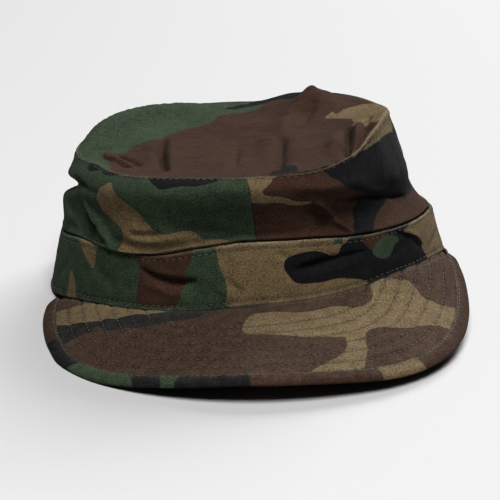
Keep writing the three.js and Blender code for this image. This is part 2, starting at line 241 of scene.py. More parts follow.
def pucker(along, away, reach):
    """The small ripples that a row of stitches draws up beside it."""
    ripple = np.sin(along * 0.9 + 2.1 * np.sin(along * 0.21) + 1.3 * np.sin(along * 0.47))
    return ripple * ridge(away, reach)


def gathered(count, gather):
    """Steps from 0 to 1 that lie closer together at both ends."""
    even = np.linspace(0, 1, count)
    return (1 - gather) * even + gather * (0.5 - 0.5 * np.cos(np.pi * even))


def normals_of(points):
    """The outward direction at each point of a grid of cloth."""
    across = np.gradient(points, axis=1)
    up = np.gradient(points, axis=0)
    if np.allclose(points[:, 0], points[:, -1]):
        across[:, 0] = across[:, -1] = points[:, 1] - points[:, -2]
    facing = np.cross(across, up)
    return facing / np.maximum(np.linalg.norm(facing, axis=-1, keepdims=True), 1e-9)


def in_patch(outline, x, y):
    """How far points of the cloth lie inside a patch of the print, in millimetres."""
    ring = np.array(outline, float)
    for _ in range(2):
        after = np.roll(ring, -1, axis=0)
        ring = np.stack((0.75 * ring + 0.25 * after, 0.25 * ring + 0.75 * after), axis=1).reshape(-1, 2)
    nearest = np.full(x.shape, 1e9)
    inside = np.zeros(x.shape, bool)
    for (x0, y0), (x1, y1) in zip(ring, np.roll(ring, -1, axis=0)):
        run = max((x1 - x0) ** 2 + (y1 - y0) ** 2, 1e-12)
        t = np.clip(((x - x0) * (x1 - x0) + (y - y0) * (y1 - y0)) / run, 0, 1)
        nearest = np.minimum(nearest, np.hypot(x - x0 - t * (x1 - x0), y - y0 - t * (y1 - y0)))
        if y0 != y1:
            inside ^= ((y0 > y) != (y1 > y)) & (x < x0 + (y - y0) * (x1 - x0) / (y1 - y0))
    return np.where(inside, nearest, -nearest)


PRINT_COLOURS = ("brown", "tan", "black")
WELL_INSIDE = 20.0
EDGE_WANDERS = 0.8
EDGE_WANDERS_OVER = 8

SCATTERED_PATCHES = (
    # colour, size, how high the noise has to be, shift of the noise
    ("brown", 50, 0.02, 0),
    ("tan", 44, 0.15, 300),
    ("black", 40, 0.15, 700),
)
SCATTERED_FLATTER = (1, 1, 1.7)
SCATTERED_RAGGED = 0.3


def print_over(inside, painted, depth):
    """Prints one colour over the others where depth is above zero."""
    for colour in PRINT_COLOURS:
        if colour == painted:
            inside[colour] = np.maximum(inside[colour], depth)
        else:
            inside[colour] = np.minimum(inside[colour], -depth)


def printed(ground, patches, x, y):
    """The charted print, as how far each point lies inside each colour; green is what is left."""
    wave = EDGE_WANDERS * soft_noise(np.stack((x, y, x * 0), axis=-1), EDGE_WANDERS_OVER)
    sway = EDGE_WANDERS * soft_noise(np.stack((x, y, x * 0 + 40), axis=-1), EDGE_WANDERS_OVER)
    inside = {
        colour: np.full(x.shape, WELL_INSIDE if colour == ground else -WELL_INSIDE)
        for colour in PRINT_COLOURS
    }
    for painted, outline in patches:
        print_over(inside, painted, in_patch(outline, x + wave, y + sway))
    return inside


def scattered_print(points):
    """The print of the same cloth where a piece is turned away from the front."""
    stretched = points * SCATTERED_FLATTER
    inside = {colour: np.full(points.shape[:-1], -WELL_INSIDE) for colour in PRINT_COLOURS}
    for painted, size, threshold, shift in SCATTERED_PATCHES:
        blot = soft_noise(stretched + shift, size)
        ragged = SCATTERED_RAGGED * soft_noise(stretched - shift, size / 3)
        print_over(inside, painted, (blot + ragged - threshold) * size)
    return inside


def wall_print(points, turn, charted):
    """The print of a wall: charted as far round as the cap is in view, and scattered behind."""
    seen = (SEEN_TO_TURN - abs(turn)) * ALONG_PER_DEGREE + 6 * soft_noise(points, 12)
    scattered = scattered_print(points)
    return {
        colour: np.maximum(np.minimum(charted[colour], seen), np.minimum(scattered[colour], -seen))
        for colour in PRINT_COLOURS
    }


WORN_BESIDE_EDGE = 1.3
# How wide the painted shade along each row of stitches spreads.
STITCH_ROW_SHADE_WIDE = 0.55
FAR_FROM_STITCHES = 9
FACE_TURNED_IN = 12
WELD_DISTANCE = 2e-6


def make_cloth(
    name,
    points,
    edge,
    thickness,
    cloth_x,
    cloth_y,
    from_stitches,
    face_print,
    back_print,
    back_slot=0,
    worn=0,
):
    """A closed piece of cloth whose outer face is a grid of points, with rounded edges.

    Edge is how far each point lies from the nearest cut or fold, and from_stitches how far from the
    nearest row of stitches, along which painted shade darkens the colour. Cloth_x and cloth_y are its
    place in the weave. The back has its material from back_slot, and the last argument sets how much
    painted sheen pales the whole piece.
    """
    rows, columns = points.shape[:2]
    bpy.ops.object.select_all(action="DESELECT")
    bpy.ops.mesh.primitive_grid_add(x_subdivisions=columns - 1, y_subdivisions=rows - 1, size=2)
    piece = bpy.context.object
    piece.name = piece.data.name = name
    bpy.ops.object.mode_set(mode="EDIT")
    bpy.ops.mesh.select_all(action="SELECT")
    bpy.ops.mesh.duplicate()
    bpy.ops.mesh.flip_normals()
    bpy.ops.object.mode_set(mode="OBJECT")
    mesh = piece.data
    flat = np.empty(len(mesh.vertices) * 3)
    mesh.vertices.foreach_get("co", flat)
    flat = flat.reshape(-1, 3)
    column = np.rint((flat[:, 0] + 1) / 2 * (columns - 1)).astype(int)
    row = np.rint((flat[:, 1] + 1) / 2 * (rows - 1)).astype(int)
    is_back = np.arange(len(flat)) >= rows * columns
    radius = thickness / 2
    half = np.sqrt(np.maximum(radius**2 - (radius - np.clip(edge, 0, radius)) ** 2, 0))
    depth = np.where(is_back, (radius + half)[row, column], (radius - half)[row, column])
    laid = points[row, column] - normals_of(points)[row, column] * depth[:, None]
    laid[:, 2] = np.maximum(laid[:, 2], 0)
    mesh.vertices.foreach_set("co", (laid * MILLIMETRE).ravel())
    for colour in PRINT_COLOURS:
        values = np.where(is_back, back_print[colour][row, column], face_print[colour][row, column])
        mesh.attributes.new(colour, "FLOAT", "POINT").data.foreach_set("value", values)
    # Faded edges, and a painted sheen over the whole piece, pale the colour towards the tint.
    wear_and_sheen = worn + np.exp(-edge / WORN_BESIDE_EDGE)[row, column]
    mesh.attributes.new("wear_and_sheen", "FLOAT", "POINT").data.foreach_set("value", wear_and_sheen)
    # Painted shade along each row of stitches, stored on the points for the material.
    stitch_row_shade = ridge(from_stitches, STITCH_ROW_SHADE_WIDE)[row, column]
    mesh.attributes.new("stitch_row_shade", "FLOAT", "POINT").data.foreach_set("value", stitch_row_shade)
    corner = np.empty(len(mesh.loops), int)
    mesh.loops.foreach_get("vertex_index", corner)
    weave = np.stack((cloth_x[row, column], cloth_y[row, column]), axis=-1) * MILLIMETRE
    layer = mesh.uv_layers[0]
    layer.name = "cloth"
    layer.data.foreach_set("uv", weave[corner].ravel())
    first_corner = np.empty(len(mesh.polygons), int)
    mesh.polygons.foreach_get("loop_start", first_corner)
    shows_back = is_back & (edge[row, column] > FACE_TURNED_IN)
    slots = np.where(shows_back[corner[first_corner]], back_slot, 0)
    mesh.polygons.foreach_set("material_index", slots)
    bpy.ops.object.mode_set(mode="EDIT")
    bpy.ops.mesh.select_all(action="SELECT")
    bpy.ops.mesh.remove_doubles(threshold=WELD_DISTANCE)
    bpy.ops.object.mode_set(mode="OBJECT")
    bpy.ops.object.shade_smooth()
    return piece


def srgb(red, green, blue):
    """A screen colour, from 0 to 255, as the light that the shader wants."""
    share = [value / 255 for value in (red, green, blue)]
    return [s / 12.92 if s <= 0.04045 else ((s + 0.055) / 1.055) ** 2.4 for s in share] + [1]


def node(material, kind, inputs, **settings):
    """Adds a shader node; an input is a value, or another node's output."""
    made = material.node_tree.nodes.new(kind)
    for setting, value in settings.items():
        setattr(made, setting, value)
    for socket, value in inputs.items():
        if isinstance(value, bpy.types.NodeSocket):
            material.node_tree.links.new(value, made.inputs[socket])
        else:
            made.inputs[socket].default_value = value
    return made


def weighted(material, *terms):
    """The sum of outputs, each times its weight."""
    total = None
    for socket, weight in terms:
        inputs = {0: socket, 1: weight, 2: 0 if total is None else total}
        total = node(material, "ShaderNodeMath", inputs, operation="MULTIPLY_ADD").outputs[0]
    return total


def mixed(material, share, first, second):
    """A colour between two; a colour mix has its share on socket 0 and its colours on 6 and 7."""
    inputs = {0: share, 6: first, 7: second}
    return node(material, "ShaderNodeMix", inputs, data_type="RGBA").outputs[2]


def uneven(material, place_on, scale, detail):
    """Noise over a place on the cloth, with about scale bumps to the metre."""
    inputs = {"Vector": place_on, "Scale": scale, "Detail": detail}
    return node(material, "ShaderNodeTexNoise", inputs).outputs[0]


def stored(material, name):
    """A value that make_cloth left on each point of the cloth."""
    return node(material, "ShaderNodeAttribute", {}, attribute_name=name).outputs["Fac"]


PRINT_EDGE_SOFT = 0.25


def camouflage_twill(name, print_colours, tint):
    """Cotton twill printed in woodland camouflage, softened with use, with diagonal ribs 0.6 mm apart;
    faded edges and painted sheen pale it, and painted shade darkens it along stitch rows.
    """
    material = bpy.data.materials.new(name)
    material.use_nodes = True
    shader = material.node_tree.nodes["Principled BSDF"]
    weave = node(material, "ShaderNodeUVMap", {}, uv_map="cloth").outputs[0]
    place_on = node(material, "ShaderNodeTexCoord", {}).outputs["Object"]
    ribs = node(
        material,
        "ShaderNodeTexWave",
        {"Vector": weave, "Scale": 740, "Distortion": 1.4, "Detail": 1},
        bands_direction="DIAGONAL",
    ).outputs["Fac"]
    yarn = uneven(material, weave, 1150, 2)
    mottle = uneven(material, place_on, 240, 4)
    fading = uneven(material, place_on, 32, 3)
    colour = print_colours["green"]
    for patch in PRINT_COLOURS:
        cover = node(
            material,
            "ShaderNodeMapRange",
            {0: stored(material, patch), 1: -PRINT_EDGE_SOFT, 2: PRINT_EDGE_SOFT, 3: 0.0, 4: 1.0},
            interpolation_type="SMOOTHSTEP",
        ).outputs[0]
        colour = mixed(material, cover, colour, print_colours[patch])
    # The share of the pale tint: faded edges, painted sheen on the peak and binding, and a little
    # random mottle.
    wear_and_sheen_share = weighted(material, (stored(material, "wear_and_sheen"), 0.16), (mottle, 0.05))
    wear_and_sheen_share = node(
        material, "ShaderNodeMath", {0: wear_and_sheen_share, 1: 0.045}, operation="SUBTRACT", use_clamp=True
    ).outputs[0]
    colour = mixed(material, wear_and_sheen_share, colour, tint)
    # Painted shade: the colour is darkened along each row of stitches.
    stitch_row_shade = stored(material, "stitch_row_shade")
    value = weighted(
        material, (ribs, 0.14), (yarn, 2.3), (mottle, 0.7), (fading, 0.6), (stitch_row_shade, -0.35)
    )
    value = node(material, "ShaderNodeMath", {0: value, 1: 0.87}, operation="SUBTRACT").outputs[0]
    colour = node(
        material, "ShaderNodeVectorMath", {0: colour, "Scale": value}, operation="SCALE"
    ).outputs[0]
    material.node_tree.links.new(colour, shader.inputs["Base Color"])
    height = weighted(material, (ribs, 0.00008), (yarn, 0.00012), (mottle, 0.0006))
    bump = node(material, "ShaderNodeBump", {"Height": height, "Distance": 1.0, "Strength": 0.8})
    material.node_tree.links.new(bump.outputs[0], shader.inputs["Normal"])
    shader.inputs["Roughness"].default_value = 0.95
    shader.inputs["Specular IOR Level"].default_value = 0.07
    shader.inputs["Sheen Weight"].default_value = 0.01
    shader.inputs["Sheen Roughness"].default_value = 0.6
    return material


TWILL_FACE = camouflage_twill(
    "camouflage twill",
    {
        "green": srgb(47, 57, 44),
        "brown": srgb(54, 39, 31),
        "tan": srgb(91, 78, 58),
        "black": srgb(23, 22, 24),
    },
    srgb(150, 146, 132),
)
TWILL_BACK = camouflage_twill(
    "back of the twill",
    {
        "green": srgb(112, 115, 96),
        "brown": srgb(110, 97, 82),
        "tan": srgb(140, 130, 106),
        "black": srgb(90, 88, 84),
    },
    srgb(160, 156, 142),
)

band_turn = np.linspace(-180, 180, BAND_COLUMNS)[None, :]
band_share = gathered(BAND_ROWS, 0.8)[:, None]
band_turn, band_share = np.broadcast_arrays(band_turn, band_share)


def band_point(turn, share):
    """The band's outer face with its broad folds, from its rim at 0 to its top fold at 1."""
    out = rim_out(turn) + (band_out(turn) - rim_out(turn)) * share
    up = rim_up(turn) + (band_up(turn) - rim_up(turn)) * share
    return place(turn, out + np.sin(np.pi * share) * fold_depth(turn, out, up), up)


def pushed_out(points, turn, amount):
    """Points moved level away from the crown's axis."""
    moved = points.copy()
    moved[..., 0] += amount * np.sin(np.radians(turn))
    moved[..., 1] -= amount * np.cos(np.radians(turn))
    return moved


band_along = band_turn * ALONG_PER_DEGREE
band_height = band_share * BAND_CUT_HEIGHT
band_face = band_point(band_turn, band_share)
band_edge = np.minimum(band_height, BAND_CUT_HEIGHT - band_height)
from_band_row = band_edge - STITCHES_FROM_EDGE
band_push = crease_depth(BAND_CREASES, band_along, band_height)
band_push = band_push + rumple(band_face, (0.5, 16), (0.22, 6))
band_push = band_push * np.minimum(1, band_edge / STITCHES_FROM_EDGE)
band_push = band_push - 0.25 * ridge(from_band_row, 0.8) + 0.16 * pucker(band_along, from_band_row, 2.6)
band_face = pushed_out(band_face, band_turn, band_push)

band_charted = printed("green", BAND_PATCHES, band_along, band_height)
band_print = wall_print(band_face, band_turn, band_charted)
band = make_cloth(
    "band_cloth",
    band_face,
    band_edge,
    BAND_THICKNESS,
    band_along,
    band_height,
    from_band_row,
    band_print,
    band_print,
)
band.data.materials.append(TWILL_FACE)
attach(band, "root")
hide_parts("band")


# The side panels
# Two shaped walls of single twill, joined by a slanting seam in front and a straight one behind.
# Their feet are caught behind the band, and their upper edges are felled to the crown top.

PANEL_THICKNESS = 1.6
PANEL_CUT_HEIGHT = 46
PANEL_COLUMNS = 240
PANEL_ROWS = 52
FOOT_LAP = 5
CLEAR_OF_BAND = 0.3
FRONT_SEAM_AT_FOOT = 1.35
FRONT_SEAM_AT_TOP = -1.7
REAR_SEAM = 179.97

# The foot rolls over the band; at the left the wall hangs over it, out and down.
FOOT_ROLL = 1.4
HANGS_AT_TURN = -42
HANGS_OUT = 2
HANGS_DOWN = 1.7

# The top seam stands in a small roll, and its stitches sink in a groove below it.
SEAM_ROLL = 0.4
SEAM_GROOVE = 0.2

# In front the left panel laps over the right one.
FRONT_LAP = {-1: 0.3, 1: -0.1}

PANEL_SHAPE = (
    # turn, middle out, middle up, shoulder out, shoulder up, seam out, seam up
    (-165, 88, 42.5, 87.5, 57, 82.5, 67.6),
    (-150, 88, 42, 86.5, 56, 81, 69),
    (-120, 89, 42, 86, 56, 79, 67),
    (-105, 88.9, 43, 85.4, 56, 80, 67),
    (-90, 88.7, 44, 84.4, 57, 81, 67.5),
    (-75, 87.5, 47, 88, 60, 81.6, 68.8),
    (-60, 88, 49, 91, 63, 81.6, 71.7),
    (-45, 90.5, 52, 94, 67, 86.8, 73.4),
    (-30, 92.3, 54, 98, 71, 92, 76.7),
    (-15, 92.3, 58, 99.3, 74.5, 93, 79.3),
    (0, 91.8, 61, 98.5, 75.5, 93, 80.5),
    (15, 90, 62, 94.2, 75.5, 92, 81.3),
    (30, 84.5, 60, 87, 75, 86, 85),
    (45, 79, 58.5, 81, 70, 76, 91),
    (60, 76, 55, 76.5, 68, 67, 90.5),
    (75, 75, 51.5, 73, 65, 63.5, 89),
    (90, 75, 49, 70.5, 63, 62.5, 86),
    (120, 79, 46, 77, 62, 70, 79),
    (150, 85, 44, 84, 60, 80, 75.6),
    (165, 86.5, 43.5, 86, 58.5, 81.5, 73.2),
    (180, 88, 43, 88, 57, 83, 67.6),
)

PANEL_CREASES = (
    # from along, from up, to along, to up, wide, depth outwards
    (-92, 22, -77, 12, 2, 4),
    (-77, 12, -68, 4, 2, 3.2),
    (-113, 13, -96, 5, 2, 1),
    (-97, 14, -84, 12, 3, -1.6),
    (-104, 33, -83, 28, 1.8, -2),
    (-83, 28, -74, 28, 1.8, -1.3),
    (-67, 4, -52, 1, 2, 0.8),
    (-56, 11, -40, 12, 1.5, -2.2),
    (-62, 24, -44, 16, 3.5, -0.7),
    (-40, 30, -18, 24, 4, 0.6),
    (-34, 14, -12, 9, 3, -0.7),
    (18, 33, 40, 27, 4, 0.9),
    (27, 22, 38, 12, 1.5, 3),
    (38, 12, 46, 4, 1.5, 3),
    (24, 17, 36, 6, 2.2, -1.6),
    (18, 31, 60, 27, 4, 1.5),
    (20, 11, 40, 6, 2.5, -0.7),
    (36, 23, 45, 20, 1.7, -2),
    (45, 20, 58, 20, 1.8, -3.6),
    (58, 20, 78, 16, 1.5, -2.8),
    (78, 16, 103, 14, 1.5, -2.6),
    (45, 26, 75, 22, 2.4, 1),
    (25, 18, 25, 14, 0.8, -0.7),
    (70, 34, 92, 27, 4, 0.7),
    (128, 30, 150, 15, 4, -0.9),
    (170, 12, 190, 30, 5, -0.9),
    (215, 30, 240, 16, 5, -0.8),
    (-165, 30, -145, 14, 5, -0.9),
    (-215, 14, -190, 30, 5, -0.9),
    (-255, 30, -235, 16, 5, -0.8),
)

LEFT_PATCHES = (
    ("tan", (
        (-65, 37), (-62, 32), (-59, 28), (-54, 25), (-49, 21), (-46, 17), (-43, 14), (-39, 12),
        (-30, 12), (-27, 12), (-24, 10), (-22, 7), (-19, 6), (-13, 5), (-9, 2), (-5, 0), (-1, -2),
        (-20, -2), (-40, -3), (-54, -3), (-61, -2), (-63, 1), (-62, 6), (-59, 11), (-62, 14),
        (-69, 17), (-74, 21), (-75, 25), (-73, 30), (-69, 35),
    )),
    ("black", (
        (-95, 40), (-97, 43), (-93, 49), (-77, 49), (-62, 49), (-65, 43), (-69, 42), (-75, 40),
        (-79, 42), (-81, 44), (-84, 42), (-89, 39),
    )),
    ("black", (
        (-46, 49), (-44, 41), (-41, 37), (-37, 33), (-35, 33), (-31, 34), (-26, 35), (-22, 35),
        (-18, 37), (-15, 40), (-12, 44), (-12, 49), (-30, 49),
    )),
)

RIGHT_PATCHES = (
    ("tan", (
        (-6, 48), (10, 48), (10, 44), (8, 43), (8, 39), (7, 36), (4, 32), (4, 30), (6, 28),
        (12, 26), (19, 23), (27, 22), (27, 21), (17, 21), (11, 23), (4, 25), (-4, 24), (-6, 33),
    )),
    ("tan", ((44, 48), (63, 50), (117, 50), (131, 48), (126, 40), (73, 39), (52, 40))),
    ("black", (
        (29, 46), (31, 41), (34, 35), (38, 30), (46, 25), (55, 23), (60, 21), (57, 19), (53, 17),
        (51, 14), (51, 10), (49, 5), (46, -3), (55, -3), (57, 0), (61, 5), (68, 9), (75, 13),
        (83, 15), (94, 14), (124, 15), (146, 14), (115, 28), (116, 35), (127, 39), (120, 40),
        (96, 40), (80, 41), (60, 41), (53, 43), (48, 44), (46, 45),
    )),
)

mid_out, mid_up, shoulder_out, shoulder_up, seam_out, seam_up = (
    curve_through(PANEL_SHAPE, column) for column in range(1, 7)
)


def through_knots(knots, share):
    """A smooth line through knots that are evenly spaced from 0 to 1."""
    knots = np.stack(np.broadcast_arrays(*knots, share)[:-1])
    scaled = share * (len(knots) - 1)
    i = np.clip(scaled.astype(int), 0, len(knots) - 2)
    t = scaled - i

    def knot(index):
        return np.take_along_axis(knots, np.clip(index, 0, len(knots) - 1)[None], axis=0)[0]

    a, b, c, d = knot(i - 1), knot(i), knot(i + 1), knot(i + 2)
    return b + 0.5 * t * (c - a + t * (2 * a - 5 * b + 4 * c - d + t * (3 * (b - c) + d - a)))


def panel_point(turn, share):
    """The wall's outer face with its broad folds, from the band's top at 0 to the top seam at 1."""
    foot_out = band_out(turn) - BAND_THICKNESS - CLEAR_OF_BAND
    foot_up = band_up(turn) + CLEAR_OF_BAND
    out = through_knots((foot_out, mid_out(turn), shoulder_out(turn), seam_out(turn)), share)
    up = through_knots((foot_up, mid_up(turn), shoulder_up(turn), seam_up(turn)), share)
    free = np.minimum(1, 5 * share) * np.minimum(1, 6 * (1 - share))
    return place(turn, out + free * fold_depth(turn, out, up), up)


def front_seam_turn(share):
    """The slant of the front seam."""
    return FRONT_SEAM_AT_FOOT + (FRONT_SEAM_AT_TOP - FRONT_SEAM_AT_FOOT) * np.clip(share, 0, 1)


def make_side_panel(name, side, ground, patches):
    """One wall, at negative turns where side is -1; gives back the points of its face."""
    lap = np.linspace(-FOOT_LAP, -0.8, 4) / PANEL_CUT_HEIGHT
    share = np.concatenate((lap, gathered(PANEL_ROWS, 0.55)))[:, None]
    across = gathered(PANEL_COLUMNS, 0.2)
    across = np.concatenate(([0, 0.0006], across[1:-1], [0.9994, 1]))[None, :]
    share, across = np.broadcast_arrays(share, across)
    seam = front_seam_turn(share) + side * 0.01
    rear = side * REAR_SEAM
    first, last = (rear, seam) if side < 0 else (seam, rear)
    turn = first + (last - first) * across
    along = turn * ALONG_PER_DEGREE
    height = share * PANEL_CUT_HEIGHT
    points = panel_point(turn, np.maximum(share, 0))
    in_band = 1 + np.minimum(height, 0) / BAND_CUT_HEIGHT
    lapped = pushed_out(band_point(turn, in_band), turn, -BAND_THICKNESS - CLEAR_OF_BAND)
    points = np.where(height[..., None] < 0, lapped, points)
    from_top = PANEL_CUT_HEIGHT - height
    from_front = abs(turn - seam) * ALONG_PER_DEGREE
    from_rear = abs(turn - rear) * ALONG_PER_DEGREE
    edge = np.minimum(np.minimum(from_top, height + FOOT_LAP), 8 * np.minimum(from_front, from_rear))
    from_row = from_top - STITCHES_FROM_EDGE
    push = crease_depth(PANEL_CREASES, along, height) + rumple(points, (0.9, 22), (0.35, 7))
    push = push * np.clip(np.minimum(height, from_top - 1) / 4, 0, 1)
    hangs = ridge(turn - HANGS_AT_TURN, 14)
    push = push + (FOOT_ROLL + HANGS_OUT * hangs) * ridge(height - 2.2, 2.2)
    push = push + SEAM_ROLL * ridge(from_top - 1.5, 1.2) - SEAM_GROOVE * ridge(from_row, 0.7)
    push = push + 0.2 * pucker(along, from_top - 4, 3)
    push = push + FRONT_LAP[side] * ridge(from_front - 1.6, 1.4)
    points = pushed_out(points, turn, push)
    points[..., 2] -= HANGS_DOWN * hangs * ridge(height - 3, 2.6)
    pattern = wall_print(points, turn, printed(ground, patches, along, height))
    piece = make_cloth(
        name + "_cloth",
        points,
        edge,
        PANEL_THICKNESS,
        along,
        height,
        from_row,
        pattern,
        pattern,
        back_slot=1,
    )
    piece.data.materials.append(TWILL_FACE)
    piece.data.materials.append(TWILL_BACK)
    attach(piece, "root")
    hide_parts(name)
    return points


left_face = make_side_panel("side_panel_left", -1, "green", LEFT_PATCHES)
right_face = make_side_panel("side_panel_right", 1, "brown", RIGHT_PATCHES)


# The crown top
# One oval of single twill, sewn to the upper edges of the side panels.
# It sinks between its seams and is gathered into soft folds at its corners.

TOP_THICKNESS = 1.6
TOP_PLANE_UP = 75.5
TOP_RISE_TO_RIGHT = 0.11
TOP_FALL_TO_BACK = 0.05
TOP_SAG = 6
TOP_GRID = 186
TOP_IN_WEAVE = 400

# Behind at the left the cloth puffs up and out over its seam.
PUFF = 6.8
PUFF_AT_TURN = -122
PUFF_WIDE = 28

TOP_FOLDS = (
    # x, y, long, wide, slant in degrees, lift; from the crown's axis
    (-38, -62, 12, 4, 80, 1.5),
    (-12, -58, 12, 4, 75, 1.5),
    (8, -56, 14, 5, 80, -1.5),
    (46, -46, 20, 5, 55, -5),
    (32, 58, 20, 9, 100, 5),
    (-66, -30, 16, 5, 125, -1.5),
)

TOP_CREASES = (
    # from x, from y, to x, to y, wide, lift
    (-42, 21, -42, -8, 1.6, -4),
    (-42, -8, -40, -36, 1.5, -5.5),
    (-40, -36, -38, -62, 1.7, -4.5),
    (-38, 12, -36, -55, 3, 2.2),
    (-47, 8, -46, -50, 4, 1.2),
    (14, 0, 13, -41, 1.8, -3.6),
    (13, -41, 11, -72, 2, -3.6),
    (7, 5, 7, -60, 4, 1.4),
    (20, 0, 20, -50, 4, 1),
    (-7, -8, -8, -62, 1.6, -1.6),
    (-70, -12, -62, -26, 1.3, -3),
    (-62, -26, -55, -40, 1.3, -3),
    (-62, -12, -54, -28, 1.3, -2.4),
    (-54, -28, -50, -40, 1.3, -2),
    (-66, -34, -60, -48, 1.2, -2.6),
    (-66, -16, -57, -36, 1.6, 1.8),
    (-68, -28, -61, -46, 1.4, 1.6),
    (-76, -8, -66, 2, 2, -2),
    (53, -38, 45, -61, 1.8, -7),
    (45, -61, 42, -74, 1.8, -6),
    (44, -12, 43, -42, 1.7, -6),
    (43, -42, 41, -72, 1.6, -4.5),
    (54, -3, 51, -27, 1.7, -4.5),
    (48, -14, 46, -46, 2.2, 2),
    (60, -18, 51, -46, 2.2, 1.8),
    (37, -10, 36, -62, 3, 1.6),
    (34, 74, 21, 54, 3, 2.2),
    (21, 54, 16, 40, 3, 2),
    (16, 40, 14, 5, 3.4, 1.6),
    (30, 50, 24, 24, 2.6, -1.6),
    (10, 48, 4, 20, 3.4, -1.2),
    (-8, 30, -30, -10, 5, -0.8),
    (-30, 60, -45, 35, 4, -1.2),
    (-10, 70, -24, 48, 4, 1.2),
)

TOP_PATCHES = (
    ("green", (
        (-95, -4), (-90, -45), (-66, -58), (-62, -51), (-66, -28), (-69, -17), (-68, -8), (-59, -7),
        (-54, 6), (-48, 15), (-42, 21), (-41, 26), (-35, 32), (-28, 36), (-21, 42), (-15, 55),
        (-6, 58), (4, 64), (6, 74), (4, 90), (-43, 90), (-80, 70), (-95, 30),
    )),
    ("black", (
        (-15, 64), (-6, 65), (3, 73), (12, 74), (17, 68), (22, 63), (27, 69), (32, 74), (35, 70),
        (38, 64), (42, 59), (46, 62), (40, 80), (23, 90), (4, 90), (0, 79), (-8, 72),
    )),
    ("tan", (
        (34, 27), (37, 33), (39, 35), (40, 29), (44, 36), (48, 39), (57, 41), (61, 33), (64, 6),
        (62, -22), (56, -38), (53, -26), (50, -9), (48, -21), (46, -18), (47, -7), (47, 13),
        (42, 20), (38, 25),
    )),
    ("black", (
        (6, -93), (9, -75), (12, -64), (15, -58), (19, -65), (20, -74), (20, -82), (19, -88),
        (13, -92),
    )),
)

def top_plane(x, y):
    """The height of the slanting plane that the top panel lies in."""
    return TOP_PLANE_UP + x * TOP_RISE_TO_RIGHT - y * TOP_FALL_TO_BACK


def turn_of(x, y):
    """The turn of a point that lies x and y from the crown's axis."""
    return np.degrees(np.arctan2(x, -y))


# A square grid is bent to the oval, so that its outer rows follow the seam.
top_step = 2 * gathered(TOP_GRID, 0.3) - 1
top_u, top_v = np.meshgrid(top_step, top_step)
top_share = np.maximum(abs(top_u), abs(top_v))
is_side = abs(top_u) >= abs(top_v)
lean = np.where(is_side, top_v, top_u) / np.maximum(top_share, 1e-9) * np.pi / 4
top_angle_x = np.where(is_side, np.sign(top_u) * np.cos(lean), np.sin(lean))
top_angle_y = np.where(is_side, np.sin(lean), np.sign(top_v) * np.cos(lean))
top_turn = turn_of(top_angle_x, top_angle_y)

top_rim = place(top_turn, seam_out(top_turn), seam_up(top_turn)) - (*CROWN_AXIS, 0)
top_x = top_rim[..., 0] * top_share
top_y = top_rim[..., 1] * top_share
to_rim = top_rim[..., 2] - top_plane(top_rim[..., 0], top_rim[..., 1])
top_edge = (1 - top_share) * np.hypot(top_rim[..., 0], top_rim[..., 1])
lift = crease_depth(TOP_CREASES, top_x, top_y)
for fold_x, fold_y, long, wide, slant, deep in TOP_FOLDS:
    cos, sin = np.cos(np.radians(slant)), np.sin(np.radians(slant))
    along_fold = (top_x - fold_x) * cos + (top_y - fold_y) * sin
    beside = (top_y - fold_y) * cos - (top_x - fold_x) * sin
    lift = lift + deep * np.exp(-((along_fold / long) ** 2) - (beside / wide) ** 2)
top_plan = np.stack((top_x, top_y, 0 * top_x), axis=-1)
lift = lift + rumple(top_plan, (1.3, 24), (0.5, 9))
lift = lift * np.minimum(1, top_edge / 8)
lift = lift + 0.2 * pucker(top_turn * ALONG_PER_DEGREE, top_edge - 5, 3)
top_up = top_plane(top_x, top_y) + to_rim * top_share**3 - TOP_SAG * (1 - top_share**2) + lift
puff = PUFF * ridge(top_turn - PUFF_AT_TURN, PUFF_WIDE)
puff_up = puff * ridge(top_edge - 7, 6) * np.minimum(1, top_edge / 2.5)
puff_out = 0.5 * puff * ridge(top_edge - 4, 3) * np.minimum(1, top_edge / 2)
top_face = np.stack((top_x + CROWN_AXIS[0], top_y + CROWN_AXIS[1], top_up + puff_up), axis=-1)
top_face = pushed_out(top_face, top_turn, puff_out)
top_print = printed("brown", TOP_PATCHES, top_x, top_y)
crown_top = make_cloth(
    "crown_top_cloth",
    top_face,
    top_edge,
    TOP_THICKNESS,
    top_x + TOP_IN_WEAVE,
    top_y,
    np.full(top_edge.shape, FAR_FROM_STITCHES),
    top_print,
    top_print,
    back_slot=1,
)
crown_top.data.materials.append(TWILL_FACE)
crown_top.data.materials.append(TWILL_BACK)
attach(crown_top, "root")
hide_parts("crown_top")


# The peak
# A stiff board between two layers of twill, sewn through with seven rows that follow its edge.
# Its root is caught under the band's rim, and the rows draw the cloth down a little.

PEAK_BOARD = 1.1
PEAK_FACE_UP = 2.9
PEAK_REACH = 60
PEAK_CAMBER = 1.2
# A painted sheen pales the whole peak's colour towards the pale tint by this much.
PEAK_PAINTED_SHEEN = 0.4
PEAK_ENDS = (-71.5, 77)
PEAK_COLUMNS = 230
PEAK_ROWS = 112
PEAK_IN_WEAVE = -400
END_PER_DEGREE = 1.7
EDGE_SETTLE = 1.0
ROOT_RISE = 1.1
ROOT_UNDER_BAND = 1.6
CLOTH_IN_BINDING = 1.4
FIRST_ROW = 5
ROW_PITCH = 6.35
ROWS_OF_STITCHES = 7
ROW_DIP = 0.45

